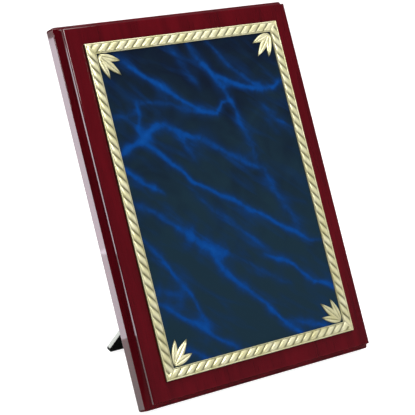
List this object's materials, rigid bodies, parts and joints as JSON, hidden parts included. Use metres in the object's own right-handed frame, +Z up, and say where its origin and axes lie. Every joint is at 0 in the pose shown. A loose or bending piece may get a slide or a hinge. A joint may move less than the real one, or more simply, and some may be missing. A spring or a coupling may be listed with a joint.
{
  "type": "wooden award plaque",
  "caption": "Lacquered wooden plaque with a cove edge and a gilt-bordered blue plate for engraving, leaning on a hinged strut that folds flat behind it.",
  "frame": {"origin": "on the surface that the plaque stands on, under the middle of its outline, with the strut open", "axes": "+X to the plaque's right as seen from the front, -Y the way its face looks, +Z up; the board leans back 23.2 degrees towards +Y"},
  "size_m": [0.172, 0.106, 0.2112],
  "materials": {
    "rosewood_lacquer": "deep red rosewood stain under high-gloss lacquer",
    "black_lining": "short flock lining, matt",
    "adhesive_tape": "double-sided tape",
    "blue_enamel": "marbled blue enamel on sheet metal, satin gloss",
    "gilt": "embossed and gilded, pale gold",
    "hinge_steel": "bright zinc plated",
    "fixing_steel": "bright zinc plated",
    "black_lacquer": "black gloss lacquer on fibreboard"
  },
  "bodies": {
    "plaque": {"board": "rosewood_lacquer", "back_lining": "black_lining", "plate_adhesive": "adhesive_tape", "blue_plate": "blue_enamel", "rope_border": "gilt", "corner_spray_top_left": "gilt", "corner_spray_top_right": "gilt", "corner_spray_bottom_left": "gilt", "corner_spray_bottom_right": "gilt", "hinge_board_leaf": "hinge_steel", "hinge_pin": "hinge_steel", "hinge_screws": "fixing_steel"},
    "strut": {"strut": "black_lacquer", "hinge_strut_leaf": "hinge_steel", "strut_rivets": "fixing_steel"}
  },
  "joints": [
    {"name": "strut_fold", "type": "hinge", "parent": "plaque", "child": "strut", "pos_m": [0, 0.00919, 0.1129], "axis": [-1, 0, 0], "range_deg": [0, 43.5]}
  ]
}
